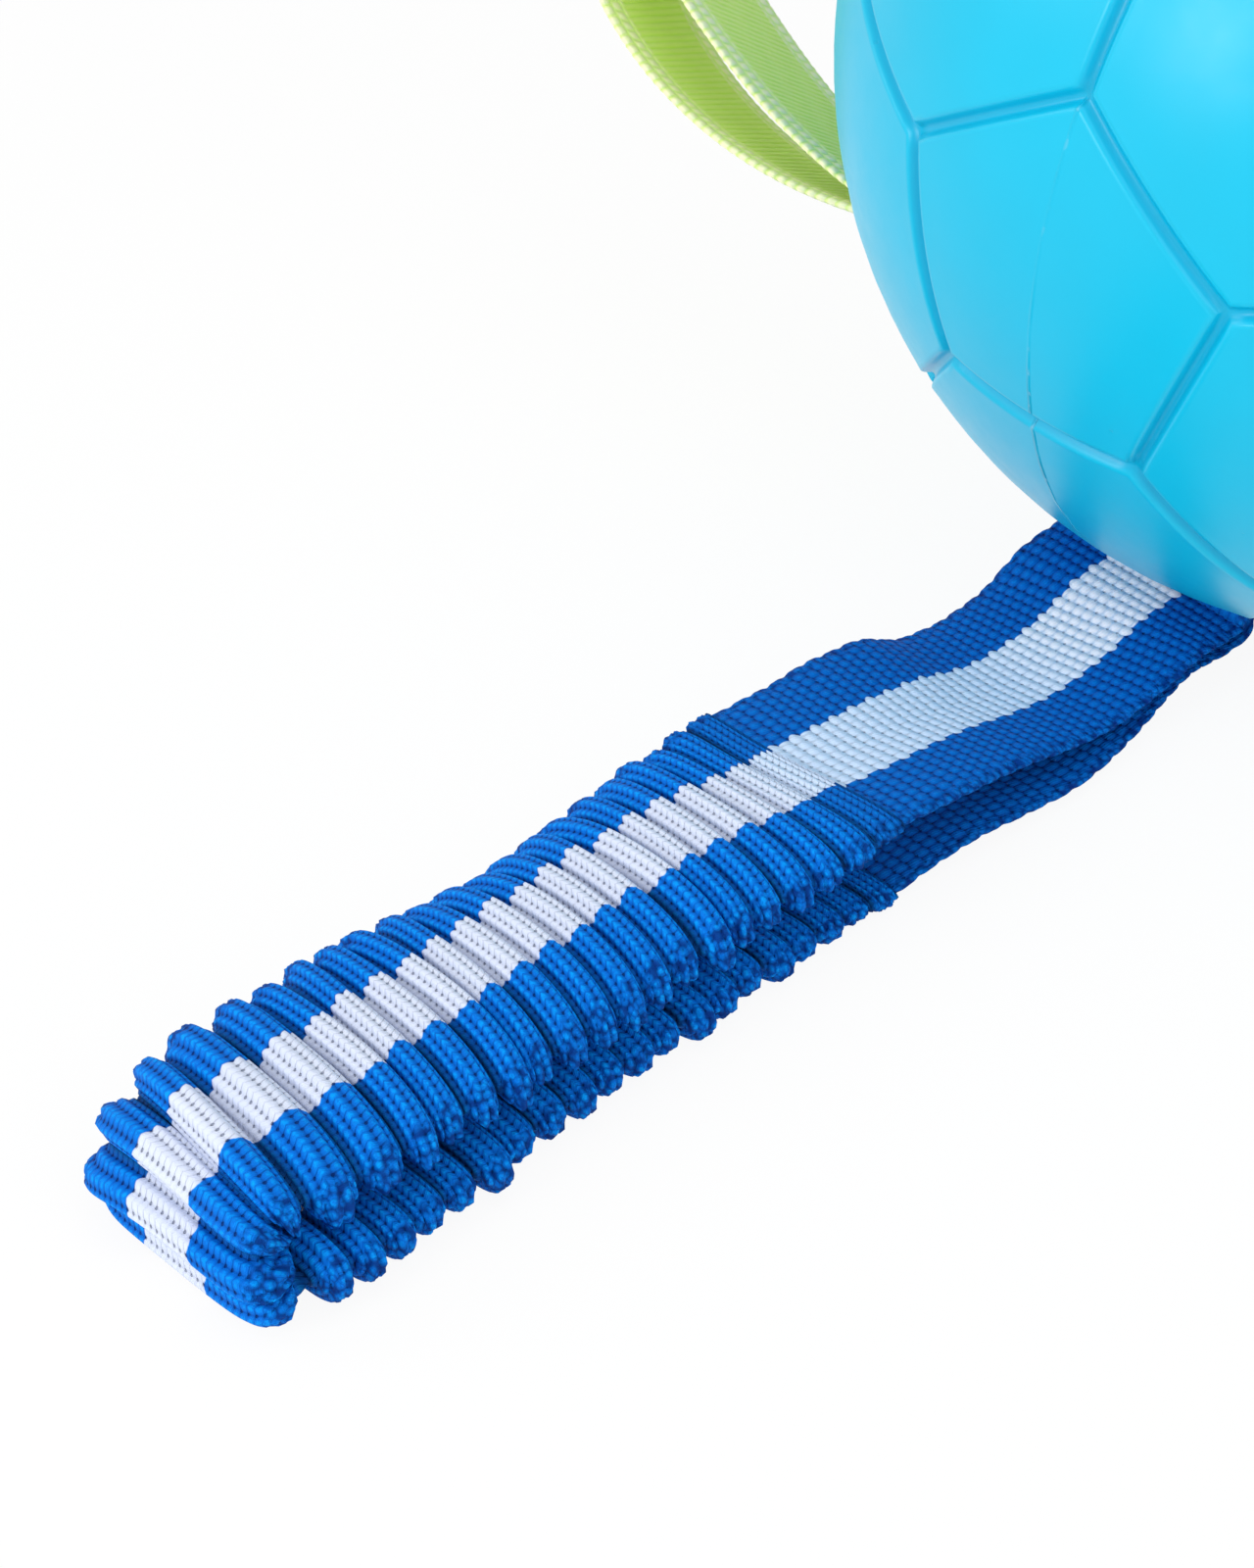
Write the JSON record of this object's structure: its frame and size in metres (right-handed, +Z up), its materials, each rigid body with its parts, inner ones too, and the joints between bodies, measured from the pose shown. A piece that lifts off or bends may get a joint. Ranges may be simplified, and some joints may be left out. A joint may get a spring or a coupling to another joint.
{
  "type": "dog tug ball",
  "caption": "Hollow panelled rubber dog ball with woven grab-tab loops set in its seams and a gathered, stretching webbing loop handle that leaves through a slot at the bond line.",
  "frame": {"origin": "middle of the small flat that the ball stands on", "axes": "+Z up; the handle lies along -X; +Y away from the picture's viewer"},
  "size_m": [0.3404, 0.3164, 0.1878],
  "materials": {
    "ball_rubber": "satin moulded, faint bond line",
    "handle_webbing": "knitted tube, royal blue with a white middle stripe",
    "tab_webbing": "woven lime green twill",
    "elastic_band": "plain braided elastic",
    "bar_nylon": "plain nylon rod"
  },
  "bodies": {
    "ball": {"rear_half_shell": "ball_rubber", "front_half_shell": "ball_rubber", "handle_anchor_bar": "bar_nylon", "handle_root": "handle_webbing", "tab_rear_lower_root": "tab_webbing", "tab_rear_lower_anchor_bar": "bar_nylon", "tab_front_lower_root": "tab_webbing", "tab_front_lower_anchor_bar": "bar_nylon", "tab_rear_upper_root": "tab_webbing", "tab_rear_upper_anchor_bar": "bar_nylon", "tab_front_upper_root": "tab_webbing", "tab_front_upper_anchor_bar": "bar_nylon"},
    "handle": {"handle_tail_upper": "handle_webbing", "handle_tail_lower": "handle_webbing", "grip_sleeve_upper": "handle_webbing", "grip_sleeve_lower": "handle_webbing", "elastic_upper": "elastic_band", "elastic_lower": "elastic_band"},
    "handle_end": {"grip_sleeve_end": "handle_webbing", "elastic_end": "elastic_band"},
    "tab_rear_lower": {"tab_rear_lower_loop": "tab_webbing"},
    "tab_front_lower": {"tab_front_lower_loop": "tab_webbing"},
    "tab_rear_upper": {"tab_rear_upper_loop": "tab_webbing"},
    "tab_front_upper": {"tab_front_upper_loop": "tab_webbing"}
  },
  "joints": [
    {"name": "handle_swing", "type": "hinge", "parent": "ball", "child": "handle", "pos_m": [-0.04039, 0.0138, 0.00725], "axis": [-0.0449, -0.9883, -0.1461], "range_deg": [-12, 125]},
    {"name": "handle_stretch", "type": "slide", "parent": "handle", "child": "handle_end", "axis": [-1, 0, 0], "range_m": [0, 0.08], "stiffness_N_per_m": 220, "deforming": ["grip_sleeve_upper", "grip_sleeve_lower", "elastic_upper", "elastic_lower"]},
    {"name": "tab_rear_lower_flex", "type": "hinge", "parent": "ball", "child": "tab_rear_lower", "pos_m": [-0.02368, 0.07601, 0.04453], "axis": [0.8962, 0.0248, -0.443], "range_deg": [-50, 22], "stiffness_Nm_per_rad": 0.08},
    {"name": "tab_front_lower_flex", "type": "hinge", "parent": "ball", "child": "tab_front_lower", "pos_m": [-0.02976, -0.05776, 0.02475], "axis": [-0.8962, -0.0248, 0.443], "range_deg": [-50, 22], "stiffness_Nm_per_rad": 0.08},
    {"name": "tab_rear_upper_flex", "type": "hinge", "parent": "ball", "child": "tab_rear_upper", "pos_m": [0.02976, 0.05776, 0.15162], "axis": [-0.8962, -0.0248, 0.443], "range_deg": [-45, 40], "stiffness_Nm_per_rad": 0.08},
    {"name": "tab_front_upper_flex", "type": "hinge", "parent": "ball", "child": "tab_front_upper", "pos_m": [0.02368, -0.07601, 0.13185], "axis": [0.8962, 0.0248, -0.443], "range_deg": [-45, 40], "stiffness_Nm_per_rad": 0.08}
  ]
}
